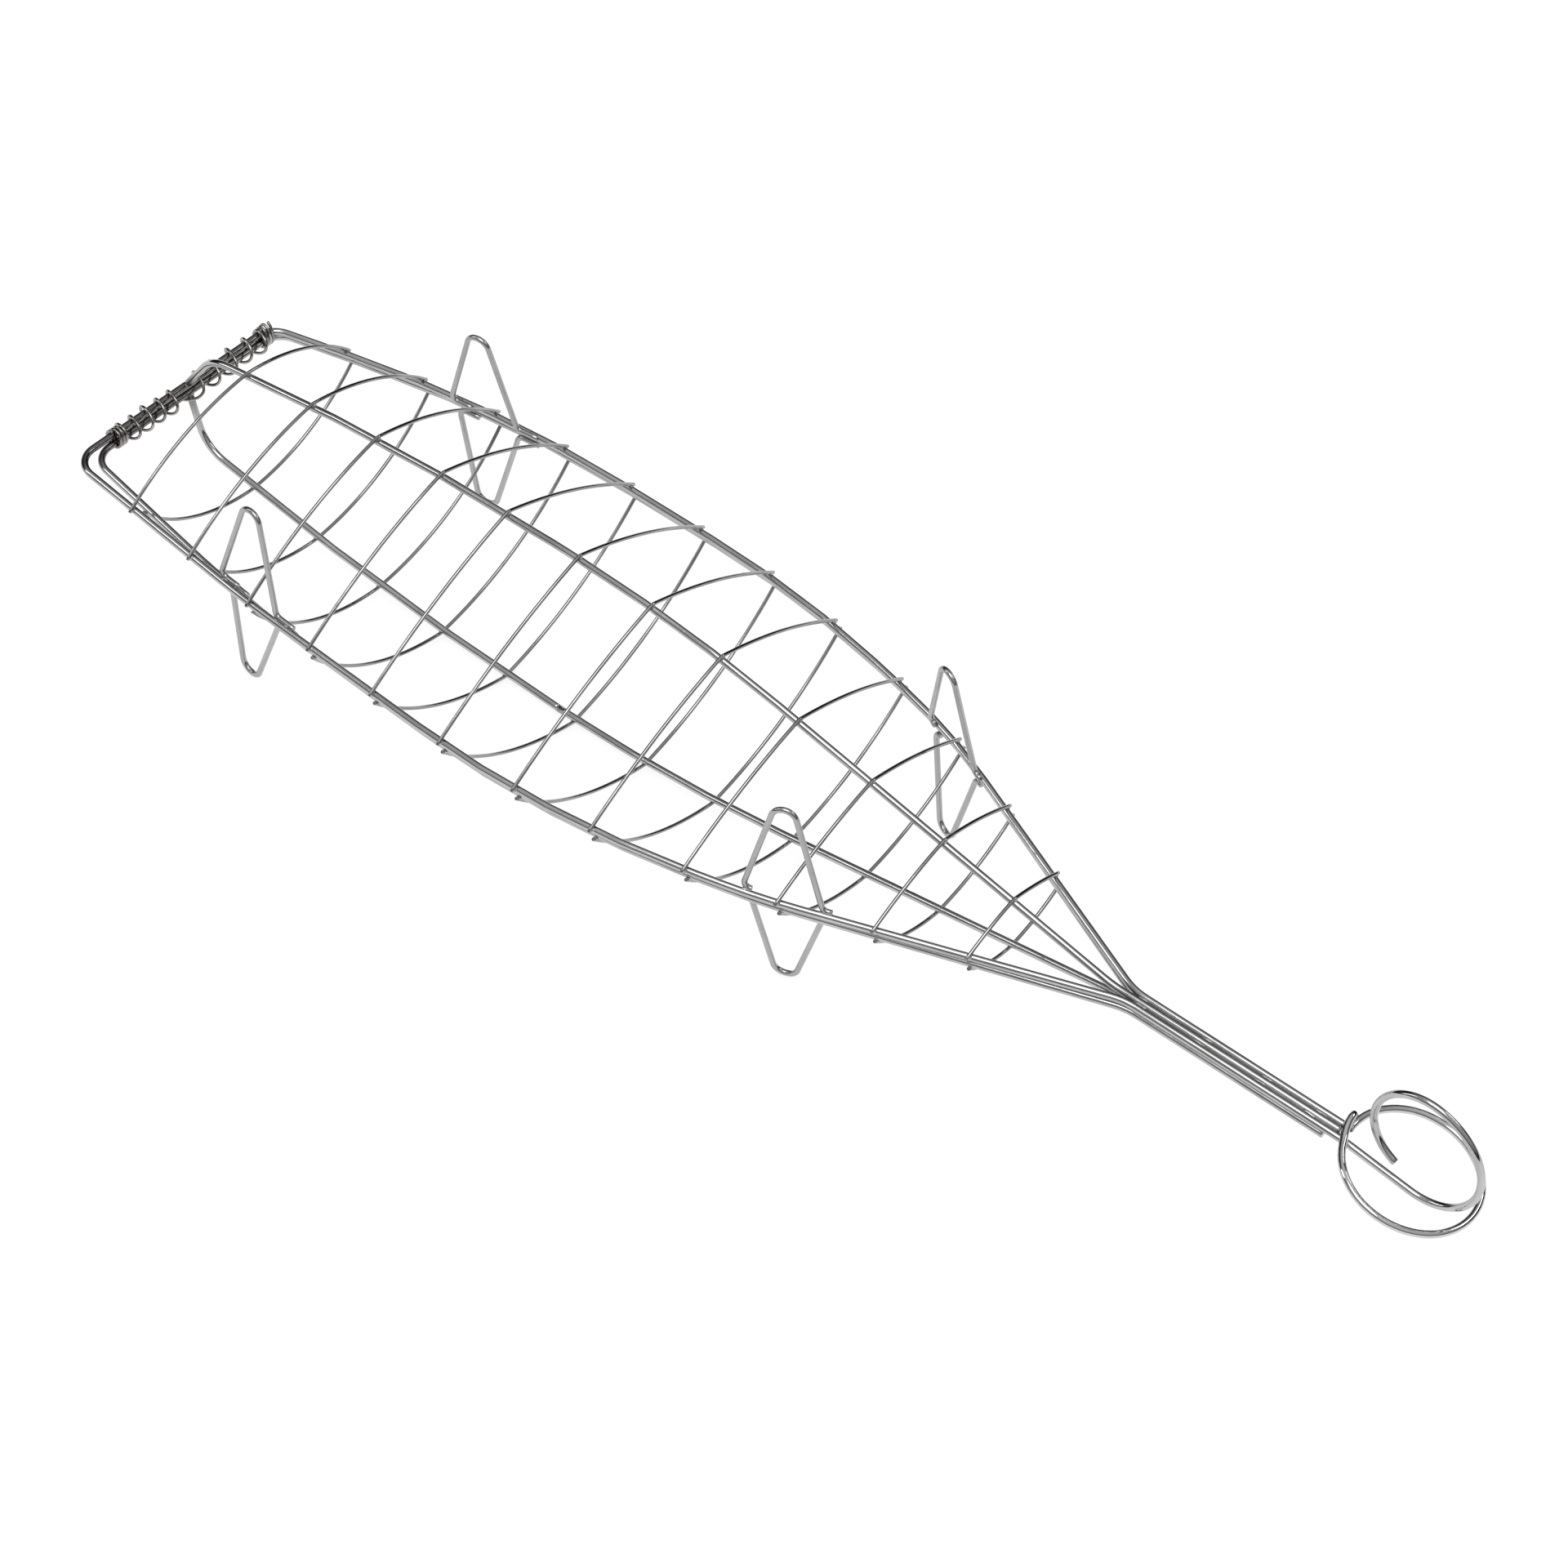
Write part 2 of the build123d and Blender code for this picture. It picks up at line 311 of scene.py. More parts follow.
def eye_line(half):
    """The hanging eye, from its free end to the shaft."""
    station, height = EYE_START
    heading = atan2(height - RIM_LEVEL, station - SHAFT_BEND)
    points = [half.at(station, EYE_SIDE, height)]
    for radius, turn in EYE_ARCS:
        centre = (station - radius * sin(heading), height + radius * cos(heading))
        steps = ceil(radians(turn) / ARC_STEP)
        for i in range(1, steps + 1):
            angle = heading + radians(turn) * i / steps
            station = centre[0] + radius * sin(angle)
            height = centre[1] - radius * cos(angle)
            points.append(half.at(station, EYE_SIDE, height))
        heading += radians(turn)
    return points[::-1]


def rim_line(half):
    far = [half.at(x, y, RIM_LEVEL) for x, y in half.rim_corners(1)]
    near = [half.at(x, -y, RIM_LEVEL) for x, y in reversed(half.rim_corners(-1))]
    radii = list(reversed(RIM_RADII[1:])) + [RIM_RADII[0]] * 2 + RIM_RADII[1:]
    if half.up < 0:
        return bent(near + far, radii)
    shaft = [
        half.at(EYE_START[0], EYE_SIDE, EYE_START[1]),
        half.at(SHAFT_BEND, EYE_SIDE, RIM_LEVEL),
    ]
    return eye_line(half)[:-1] + bent(shaft + near[1:] + far, [SHAFT_BEND_RADIUS] + radii)


def spine_line(half):
    (x0, z0), (x1, z1) = half.spine_corners[:2]
    start = (FRAME_WIRE / 2 - FOOT_SINK) / hypot(x1 - x0, z1 - z0)
    foot = half.at(start * x1, half.spine_side(0), z0 + start * (z1 - z0))
    corners = [half.at(x, half.spine_side(x), z) for x, z in half.spine_corners[1:]]
    return bent([foot] + corners, SPINE_RADII)


def cross_line(half, station):
    """The line of a cross wire and the middles of its three welds."""
    height = half.spine_height(station)
    top_y = half.spine_side(station)
    spacing = (FRAME_WIRE + CROSS_WIRE) / 2 - WELD_SINK
    share = half.bulge * (1 + MOUTH_BULGE_GAIN * max(0, 1 - station / MOUTH_BULGE_REACH))
    top = height + spacing

    def point(y, z):
        return half.at(station, y, z)

    runs = []
    welds = [(point(top_y, height + FRAME_WIRE / 2), Vector((1, 0, 0)), Vector((0, 1, 0)))]
    flats = []
    for side in (1, -1):
        width, turn = half.rim_width(side, station)
        reach = width - side * top_y
        chord = hypot(reach, top - RIM_LEVEL)
        bow = 2 * atan2(2 * share * width, chord)
        slope = atan2(top - RIM_LEVEL, reach)
        flat = max(slope - bow, radians(3))
        steep = 2 * slope - flat
        kink = (top_y + side * CROSS_KINK_RADIUS * sin(flat), top - CROSS_KINK_RADIUS * (1 - cos(flat)))
        weld = (side * (width + spacing * sin(steep)), RIM_LEVEL + spacing * cos(steep))
        leave = point(side * cos(flat), -sin(flat)) - point(0, 0)
        arc = tangent_arc(point(*kink), leave, point(*weld))
        end = (arc[-1] - arc[-2]).normalized()
        tip = arc[-1] + end * CROSS_STUB
        touch = spacing * WELD_CONTACT
        contact = (side * (width + touch * sin(steep)), RIM_LEVEL + touch * cos(steep))
        rim_way = Vector((cos(turn), side * sin(turn), 0))
        welds.append((point(*contact), rim_way, end))
        runs.append(arc + [tip])
        flats.append(flat)
    cap = []
    for i in range(1, 6):
        lean = flats[0] + (-flats[1] - flats[0]) * i / 6
        drop = CROSS_KINK_RADIUS * (1 - cos(lean))
        cap.append(point(top_y + CROSS_KINK_RADIUS * sin(lean), top - drop))
    return runs[0][::-1] + cap + runs[1], welds


def leg_line(half, place_name, side_name, side):
    """The line of a leg and the middles of its welds on the rim."""
    middle = LEG_PLACES[place_name]
    tail = LEG_TAILS[place_name]
    back, lean = half.leg_tips[f"{place_name}_{side_name}"]
    width, slope = half.rim_width(side, middle)
    gap = (FRAME_WIRE + LEG_WIRE) / 2 - LEG_SINK
    inset = gap * sin(radians(LEG_SEAT))
    sit = RIM_LEVEL + gap * cos(radians(LEG_SEAT))
    drop = half.leg_reach - LEG_WIRE / 2 - sit
    origin = half.at(middle, side * (width - inset), sit)
    along = Vector((cos(slope), side * sin(slope), 0))
    tilt = atan2(lean - inset, drop)
    inward = Vector((sin(slope), -side * cos(slope), 0))
    out = Vector((0, 0, half.up)) * cos(tilt) + inward * sin(tilt)
    rise = drop / cos(tilt) - LEG_TIP_RADIUS
    flank = atan2(rise, half.leg_spread) + asin(LEG_TIP_RADIUS / hypot(rise, half.leg_spread))
    peak = half.leg_spread * tan(flank)
    plan = [
        (-half.leg_spread + tail, 0),
        (-half.leg_spread, 0),
        (-back * peak / rise, peak),
        (half.leg_spread, 0),
        (half.leg_spread + tail, 0),
    ]
    points = [origin + along * u + out * v for u, v in plan]
    to_rim = -Vector((0, 0, half.up)) * cos(radians(LEG_SEAT)) - inward * sin(radians(LEG_SEAT))
    welds = []
    for u in (-half.leg_spread + 0.35 * tail, half.leg_spread + 0.65 * tail):
        centre = origin + along * u + to_rim * LEG_WIRE * 0.45
        welds.append((centre, along, to_rim.cross(along)))
    return bent(points, [LEG_FOOT_RADIUS, LEG_TIP_RADIUS, LEG_FOOT_RADIUS]), welds


def coil_line(rng):
    """The hinge coil: tight turns at both ends and loose, uneven loops between them."""
    knots = []
    for turn, y in enumerate(COIL_CROSSINGS):
        knots.append((turn, y))
        if turn == COIL_LINK_TURN:
            knots += [(turn + part, link_y) for part, link_y in COIL_LINK]
    last = len(COIL_CROSSINGS) - 1
    inner = []
    outer = []
    for turn in range(last + 1):
        loose = COIL_TIGHT_TURNS <= turn < last - COIL_TIGHT_TURNS
        inner.append(COIL_INNER_WIDTH + rng.uniform(-0.5, 0.7) if loose else COIL_TIGHT_WIDTH)
        outer.append(COIL_OUTER_WIDTH + rng.uniform(-0.7, 0.9) if loose else COIL_TIGHT_WIDTH)
    points = []
    for i in range(last * COIL_STEPS + 1):
        turn = i / COIL_STEPS
        index = min(int(turn), last - 1)
        for (t0, y0), (t1, y1) in zip(knots, knots[1:]):
            if t0 <= turn <= t1:
                y = y0 + (y1 - y0) * (turn - t0) / (t1 - t0)
        angle = 2 * pi * turn
        side = sin(angle)
        width = inner[index] if side > 0 else outer[index]
        height = COIL_HEIGHT + COIL_UNEVENNESS * (noise.noise(Vector((turn * 1.3, 2.5, 0))) + 0.4)
        height += COIL_FLARE * max(0, y - COIL_FLARE_FROM) ** 2 * max(0, cos(angle))
        station = COIL_STATION + MOUTH_SKEW * y + width * side
        points.append(place(station, y, height * cos(angle)))
    return points


def ring_line():
    """The lock ring: wire bent round, with one end lying over the other and standing out a little."""
    turn = 360.0 + RING_LAP
    steps = ceil(radians(turn) / ARC_STEP)
    tilt = radians(RING_TILT)
    points = []
    for i in range(steps + 1):
        passed = turn * i / steps
        angle = radians(RING_LAP_START + passed)
        over = (1 + cos(pi * min(1, passed / RING_LAP_EASE))) / 2
        under = (1 + cos(pi * min(1, (turn - passed) / RING_LAP_EASE))) / 2
        lift = RING_LAP_OVER * over - RING_LAP_UNDER * under
        radius = RING_RADIUS + RING_END_OUT * over
        x = radius * cos(angle)
        y = radius * sin(angle)
        station = RING_STATION + x * cos(tilt) + lift * sin(tilt)
        height = lift * cos(tilt) - x * sin(tilt) + y * sin(radians(RING_ROLL))
        points.append(place(station, RING_SIDE + y, height))
    return points


class Piece:
    """Gathers swept wires and weld beads into one mesh, with what its material reads."""

    def __init__(self, number, darkened=1.0):
        self.darkened = darkened
        self.points = []
        self.faces = []
        self.flat = []
        self.bead_faces = []
        self.drawn = []
        self.heat = []
        self.mouth_dark = []
        self.offset = PIECE_OFFSET * number

    def add(self, point, drawn, heat):
        self.points.append(point * MM)
        self.drawn.append(drawn)
        self.heat.append(heat)
        # How far the colour is darkened here, full at the mouth bars and fading behind them
        self.mouth_dark.append(self.darkened * min(1, max(0, (MOUTH_DARK_END + MOUTH_X - point.x) / MOUTH_DARK_FADE)))
        return len(self.points) - 1

    def sweep(self, line, diameter, sides, welds=(), reach=FRAME_HEAT_REACH):
        """A round wire along a line, with cut ends."""
        radius = diameter / 2
        last = len(line) - 1
        ways = []
        for i in range(last + 1):
            ways.append((line[min(i + 1, last)] - line[max(i - 1, 0)]).normalized())
        normal = ways[0].orthogonal().normalized()
        rings = []
        length = 0.0
        chamfer = CUT_CHAMFER * radius
        for i, (point, way) in enumerate(zip(line, ways)):
            if i:
                length += (point - line[i - 1]).length
                normal = ways[i - 1].rotation_difference(way) @ normal
                normal = (normal - way * normal.dot(way)).normalized()
            across = way.cross(normal)
            heat = 0.0
            for centre, strength in welds:
                heat = max(heat, strength * exp(-(((point - centre).length / reach) ** 2)))
            sections = [(0.0, radius)]
            if i == 0:
                sections = [(0.0, radius - chamfer), (chamfer, radius)]
            if i == last:
                sections = [(-chamfer, radius), (0.0, radius - chamfer)]
            for shift, size in sections:
                ring = []
                for k in range(sides):
                    angle = 2 * pi * k / sides
                    out = normal * cos(angle) + across * sin(angle)
                    drawn = (length + self.offset, radius * cos(angle), radius * sin(angle))
                    ring.append(self.add(point + way * shift + out * size, drawn, heat))
                rings.append(ring)
        for a, b in zip(rings, rings[1:]):
            for k in range(sides):
                n = (k + 1) % sides
                self.faces.append((a[k], a[n], b[n], b[k]))
        first_end = (rings[0], line[0], -ways[0], -1)
        last_end = (rings[-1], line[-1], ways[-1], 1)
        for ring, point, way, order in (first_end, last_end):
            middle = self.add(point + way * 0.05, (self.offset, 0.0, 0.0), self.heat[ring[0]])
            for k in range(sides):
                n = (k + 1) % sides
                self.flat.append(len(self.faces))
                corner = (ring[k], ring[n], middle)
                self.faces.append(corner if order > 0 else corner[::-1])

    def bead(self, centre, first, second, sizes, rng):
        """A small uneven weld bead round the place where two wires touch."""
        first = first.normalized()
        third = first.cross(second).normalized()
        second = third.cross(first)
        rows = 7
        around = 12
        shift = Vector((rng.uniform(-9, 9), rng.uniform(-9, 9), rng.uniform(-9, 9)))
        table = []
        for i in range(rows + 1):
            polar = pi * i / rows
            ring = []
            for k in range(1 if i in (0, rows) else around):
                angle = 2 * pi * k / around
                ball = Vector((sin(polar) * cos(angle), sin(polar) * sin(angle), cos(polar)))
                size = 1 + 0.22 * noise.noise(ball * 1.4 + shift)
                offset = first * ball.x * sizes[0] + second * ball.y * sizes[1]
                offset += third * ball.z * sizes[2]
                ring.append(self.add(centre + offset * size, tuple(ball + shift), 1.0))
            table.append(ring)
        begin = len(self.faces)
        for a, b in zip(table, table[1:]):
            for k in range(around):
                n = (k + 1) % around
                if len(a) == 1:
                    self.faces.append((a[0], b[k], b[n]))
                elif len(b) == 1:
                    self.faces.append((a[k], b[0], a[n]))
                else:
                    self.faces.append((a[k], b[k], b[n], a[n]))
        self.bead_faces += range(begin, len(self.faces))

    def finish(self, name, body, nodes, steel, bead_steel):
        mesh = bpy.data.meshes.new(name)
        mesh.from_pydata(self.points, [], self.faces)
        drawn = mesh.attributes.new("drawn", "FLOAT_VECTOR", "POINT")
        drawn.data.foreach_set("vector", [value for row in self.drawn for value in row])
        mesh.attributes.new("heat", "FLOAT", "POINT").data.foreach_set("value", self.heat)
        mesh.attributes.new("mouth_dark", "FLOAT", "POINT").data.foreach_set("value", self.mouth_dark)
        smooth = [True] * len(self.faces)
        for index in self.flat:
            smooth[index] = False
        mesh.polygons.foreach_set("use_smooth", smooth)
        mesh.materials.append(steel)
        if self.bead_faces:
            mesh.materials.append(bead_steel)
            for index in self.bead_faces:
                mesh.polygons[index].material_index = 1
        mesh.update()
        piece = bpy.data.objects.new(name, mesh)
        bpy.context.scene.collection.objects.link(piece)
        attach(piece, body)
        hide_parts(*nodes)


class Nodes:
    """A short way to write a material's nodes."""

    def __init__(self, name):
        self.material = bpy.data.materials.new(name)
        self.material.use_nodes = True
        self.tree = self.material.node_tree
        self.shader = self.tree.nodes["Principled BSDF"]

    def new(self, kind, **settings):
        node = self.tree.nodes.new(kind)
        for key, value in settings.items():
            if key.startswith("in_"):
                node.inputs[key[3:]].default_value = value
            else:
                setattr(node, key, value)
        return node

    def link(self, source, target):
        self.tree.links.new(source, target)

    def attribute(self, name, output):
        return self.new("ShaderNodeAttribute", attribute_name=name).outputs[output]

    def stretched(self, scale, size, detail=3.0, rough=0.55):
        """Noise in the wire's own directions: along it, and across it."""
        mapping = self.new("ShaderNodeMapping")
        mapping.inputs["Scale"].default_value = scale
        self.link(self.attribute("drawn", "Vector"), mapping.inputs["Vector"])
        texture = self.new("ShaderNodeTexNoise", in_Scale=size, in_Detail=detail, in_Roughness=rough)
        self.link(mapping.outputs["Vector"], texture.inputs["Vector"])
        return texture.outputs["Fac"]

    def ranged(self, source, low, high, to_low, to_high):
        node = self.new("ShaderNodeMapRange")
        for key, value in zip(("From Min", "From Max", "To Min", "To Max"), (low, high, to_low, to_high)):
            node.inputs[key].default_value = value
        self.link(source, node.inputs["Value"])
        return node.outputs["Result"]

    def mixed(self, factor, first, second, blend="MIX"):
        node = self.new("ShaderNodeMix", data_type="RGBA", blend_type=blend)
        if isinstance(factor, float):
            node.inputs[0].default_value = factor
        else:
            self.link(factor, node.inputs[0])
        for socket, value in ((node.inputs[6], first), (node.inputs[7], second)):
            if isinstance(value, tuple):
                socket.default_value = (*value, 1)
            else:
                self.link(value, socket)
        return node.outputs[2]

    def math(self, operation, first, second):
        node = self.new("ShaderNodeMath", operation=operation)
        for socket, value in zip(node.inputs, (first, second)):
            if isinstance(value, float):
                socket.default_value = value
            else:
                self.link(value, socket)
        return node.outputs[0]


def drawn_steel(name, light, dark, roughness, stain, tint):
    """Bright drawn steel wire: draw lines, handling marks and heat tint beside the welds."""
    nodes = Nodes(name)
    shader = nodes.shader
    shader.inputs["Metallic"].default_value = 1.0
    drift = nodes.stretched((0.05, 0.5, 0.5), 1.0, 4.0)
    lines = nodes.stretched((0.02, 1.0, 1.0), 9.0, 2.0, 0.7)
    marks = nodes.stretched((0.5, 1.0, 1.0), 0.55, 6.0, 0.7)
    pits = nodes.stretched((1.0, 1.0, 1.0), 4.0, 4.0, 0.6)
    colour = nodes.mixed(nodes.ranged(drift, 0.35, 0.65, 0.0, 1.0), dark, light)
    shade = nodes.ranged(lines, 0.3, 0.7, 0.88, 1.04)
    combined = nodes.new("ShaderNodeCombineColor")
    for socket in combined.inputs[:3]:
        nodes.link(shade, socket)
    colour = nodes.mixed(1.0, colour, combined.outputs[0], "MULTIPLY")
    stained = nodes.ranged(marks, 0.60, 0.72, 0.0, stain)
    colour = nodes.mixed(stained, colour, (0.10, 0.095, 0.09))
    heat = nodes.attribute("heat", "Fac")
    warmed = nodes.ranged(heat, 0.08, 0.45, 0.0, tint)
    warm = nodes.math("MULTIPLY", warmed, nodes.ranged(marks, 0.35, 0.6, 0.6, 1.0))
    colour = nodes.mixed(warm, colour, (0.40, 0.32, 0.24))
    burnt = nodes.ranged(heat, 0.45, 0.95, 0.0, tint)
    scorched = nodes.math("MULTIPLY", burnt, nodes.ranged(pits, 0.35, 0.6, 0.5, 1.0))
    colour = nodes.mixed(scorched, colour, (0.14, 0.12, 0.13))
    # Patchy darker colour round the mouth bars, by position along the basket
    patchy = nodes.ranged(pits, 0.35, 0.6, 0.55, 0.9)
    mouth_dark_mix = nodes.math("MULTIPLY", nodes.attribute("mouth_dark", "Fac"), patchy)
    colour = nodes.mixed(mouth_dark_mix, colour, (0.10, 0.088, 0.085))
    nodes.link(colour, shader.inputs["Base Color"])
    brushed = nodes.ranged(lines, 0.3, 0.7, roughness - 0.03, roughness + 0.04)
    rough = nodes.math("ADD", brushed, nodes.ranged(marks, 0.5, 0.75, 0.0, 0.22))
    rough = nodes.math("ADD", rough, nodes.ranged(heat, 0.2, 1.0, 0.0, 0.15))
    nodes.link(rough, shader.inputs["Roughness"])
    height = nodes.math("ADD", nodes.math("MULTIPLY", lines, 0.6), nodes.math("MULTIPLY", pits, 0.4))
    bump = nodes.new("ShaderNodeBump", in_Strength=0.12, in_Distance=0.00003)
    nodes.link(height, bump.inputs["Height"])
    nodes.link(bump.outputs["Normal"], shader.inputs["Normal"])
    return nodes.material


def weld_metal():
    """Metal pressed out of a spot weld: uneven, partly bright and partly scorched."""
    nodes = Nodes("weld_metal")
    shader = nodes.shader
    shader.inputs["Metallic"].default_value = 1.0
    blotch = nodes.stretched((1.0, 1.0, 1.0), 0.9, 4.0, 0.6)
    grain = nodes.stretched((1.0, 1.0, 1.0), 5.0, 4.0, 0.6)
    bright = nodes.ranged(blotch, 0.4, 0.62, 0.0, 1.0)
    colour = nodes.mixed(bright, (0.30, 0.27, 0.25), (0.66, 0.65, 0.63))
    colour = nodes.mixed(nodes.ranged(grain, 0.55, 0.7, 0.0, 0.6), colour, (0.12, 0.10, 0.10))
    nodes.link(colour, shader.inputs["Base Color"])
    nodes.link(nodes.ranged(grain, 0.3, 0.7, 0.28, 0.6), shader.inputs["Roughness"])
    bump = nodes.new("ShaderNodeBump", in_Strength=0.6, in_Distance=0.0001)
    nodes.link(grain, bump.inputs["Height"])
    nodes.link(bump.outputs["Normal"], shader.inputs["Normal"])
    return nodes.material


FRAME_STEEL = drawn_steel("frame_steel", (0.54, 0.54, 0.545), (0.40, 0.40, 0.405), 0.11, 0.35, 0.7)
CROSS_STEEL = drawn_steel("cross_steel", (0.40, 0.40, 0.405), (0.27, 0.27, 0.275), 0.12, 0.35, 0.7)
LEG_STEEL = drawn_steel("leg_steel", (0.44, 0.44, 0.445), (0.38, 0.38, 0.385), 0.22, 0.3, 0.5)
HINGE_STEEL = drawn_steel("hinge_steel", (0.50, 0.48, 0.465), (0.25, 0.235, 0.225), 0.12, 0.4, 0.6)
RING_STEEL = drawn_steel("ring_steel", (0.66, 0.66, 0.665), (0.54, 0.54, 0.55), 0.08, 0.25, 0.4)
WELD_METAL = weld_metal()


def make_halves():
    upper_legs = (UPPER_LEG_REACH, UPPER_LEG_SPREAD, UPPER_TIPS)
    lower_legs = (GROUND, LOWER_LEG_SPREAD, LOWER_TIPS)
    return [
        Half(
            "upper", 1, UPPER_SHIFT, UPPER_MOUTH, UPPER_HANDLE_END,
            UPPER_RISE, UPPER_FOOT, UPPER_BULGE, upper_legs,
        ),
        Half(
            "lower", -1, LOWER_SHIFT, LOWER_MOUTH, LOWER_HANDLE_END,
            LOWER_RISE, LOWER_FOOT, LOWER_BULGE, lower_legs,
        ),
    ]


def make_cross_wires(half, numbers, rng):
    """The cross wires of a half. Gives back what their welds heat on the spine, and on the rim."""
    spine_heat = []
    rim_heat = []
    for index, station in enumerate(CROSS_STATIONS, 1):
        line, welds = cross_line(half, station)
        piece = Piece(next(numbers))
        strengths = [rng.uniform(0.55, 1.0) for _ in welds]
        heats = [(weld[0], strength) for weld, strength in zip(welds, strengths)]
        piece.sweep(line, CROSS_WIRE, THIN_SIDES, heats, CROSS_HEAT_REACH)
        for centre, first, second in welds:
            sizes = (rng.uniform(0.95, 1.35), rng.uniform(0.85, 1.15), rng.uniform(0.55, 0.75))
            piece.bead(centre, first, second, sizes, rng)
        spine_heat.append(heats[0])
        rim_heat += heats[1:]
        node = f"{half.name}_cross_wire_{index:02d}"
        piece.finish(f"{node}_drawn", half.body, [node], CROSS_STEEL, WELD_METAL)
    return spine_heat, rim_heat


def make_legs(half, numbers, rng):
    """The four legs of a half. Gives back what their welds heat on the rim."""
    rim_heat = []
    for name in LEG_PLACES:
        for side_name, side in (("near", -1), ("far", 1)):
            line, welds = leg_line(half, name, side_name, side)
            piece = Piece(next(numbers))
            heats = [(weld[0], rng.uniform(0.5, 0.9)) for weld in welds]
            piece.sweep(line, LEG_WIRE, THICK_SIDES, heats, LEG_HEAT_REACH)
            for centre, first, second in welds:
                piece.bead(centre, first, second, (rng.uniform(1.6, 2.4), 1.15, 0.6), rng)
            rim_heat += heats
            node = f"{half.name}_leg_{name}_{side_name}"
            piece.finish(f"{node}_drawn", half.body, [node], LEG_STEEL, WELD_METAL)
    return rim_heat


def handle_welds(half, rng):
    """Middles of the beads between the handle wires of a half."""
    middles = []
    for distance in HANDLE_BEADS:
        for side in (-1, 1):
            station = NECK + distance + rng.uniform(-HANDLE_BEAD_SPREAD, HANDLE_BEAD_SPREAD)
            y = HANDLE_SIDE - half.shift[1] + side * HANDLE_PITCH / 2
            middles.append(half.at(station, y, RIM_LEVEL + HANDLE_BEAD_RISE))
    return middles


def make_rim(half, number, heats, welds, rng):
    """The rim of a half, with the beads of its handle."""
    piece = Piece(number)
    piece.sweep(rim_line(half), FRAME_WIRE, THICK_SIDES, heats)
    for centre in welds:
        sizes = (rng.uniform(1.8, 3.2), 0.7, 0.75)
        piece.bead(centre, Vector((1, 0, 0)), Vector((0, 1, 0)), sizes, rng)
    node = f"{half.name}_rim"
    piece.finish(f"{node}_drawn", half.body, [node], FRAME_STEEL, WELD_METAL)


def make_spine(half, number, heats, rng):
    """The spine of a half, with the bead at its foot on the mouth bar."""
    piece = Piece(number)
    line = spine_line(half)
    piece.sweep(line, FRAME_WIRE, THICK_SIDES, heats + [(line[0], FOOT_HEAT)])
    piece.bead(line[0], Vector((0, 1, 0)), Vector((1, 0, 0)), (1.9, 1.5, 0.9), rng)
    node = f"{half.name}_spine"
    piece.finish(f"{node}_drawn", half.body, [node], FRAME_STEEL, WELD_METAL)


def make_coil(number, rng):
    """The hinge coil, which stays with the lower half."""
    piece = Piece(number, COIL_DARKENING)
    piece.sweep(coil_line(rng), HINGE_WIRE, THIN_SIDES)
    piece.finish("hinge_coil_wound", "lower_half", ["hinge_coil"], HINGE_STEEL, WELD_METAL)


def make_ring(number):
    """The lock ring, which slides on the handle."""
    piece = Piece(number)
    piece.sweep(ring_line(), FRAME_WIRE, THICK_SIDES)
    piece.finish("lock_ring_bent", "lock_ring", ["lock_ring"], RING_STEEL, WELD_METAL)


def build():
    rng = random.Random(SEED)
    numbers = count(1)
    for half in make_halves():
        spine_heat, rim_heat = make_cross_wires(half, numbers, rng)
        rim_heat += make_legs(half, numbers, rng)
        handle = handle_welds(half, rng)
        handle_heat = [(middle, HANDLE_HEAT) for middle in handle]
        make_rim(half, next(numbers), rim_heat + handle_heat, handle, rng)
        make_spine(half, next(numbers), spine_heat + handle_heat, rng)
    make_coil(next(numbers), rng)
    make_ring(next(numbers))


def set_camera():
    """The camera: a long lens from the near rear, rolled a little."""
    azimuth = radians(34.66)
    elevation = radians(47.51)
    roll = radians(5.59)
    distance = 1.7165
    target = Vector((0.00275, -0.0051, 0.0451))
    back = Vector((sin(azimuth) * cos(elevation), -cos(azimuth) * cos(elevation), sin(elevation)))
    level = Vector((cos(azimuth), sin(azimuth), 0))
    rise = back.cross(level)
    right = level * cos(roll) + rise * sin(roll)
    up = back.cross(right)
    data = bpy.data.cameras.new("camera")
    data.lens = 113.27
    data.sensor_width = 36.0
    data.clip_end = 50.0
    camera = bpy.data.objects.new("camera", data)
    camera.matrix_world = Matrix.Translation(target + back * distance) @ Matrix(
        (
            (right.x, up.x, back.x, 0),
            (right.y, up.y, back.y, 0),
            (right.z, up.z, back.z, 0),
            (0, 0, 0, 1),
        )
    )
    bpy.context.scene.collection.objects.link(camera)
    bpy.context.scene.camera = camera


def softbox(name, spot, width, height, power):
    """A rectangular lamp that points at the origin."""
    data = bpy.data.lights.new(name, "AREA")
    data.shape = "RECTANGLE"
    data.size = width
    data.size_y = height
    data.energy = power
    lamp = bpy.data.objects.new(name, data)
    lamp.location = spot
    lamp.rotation_euler = (-Vector(spot)).to_track_quat("-Z", "Y").to_euler()
    bpy.context.scene.collection.objects.link(lamp)


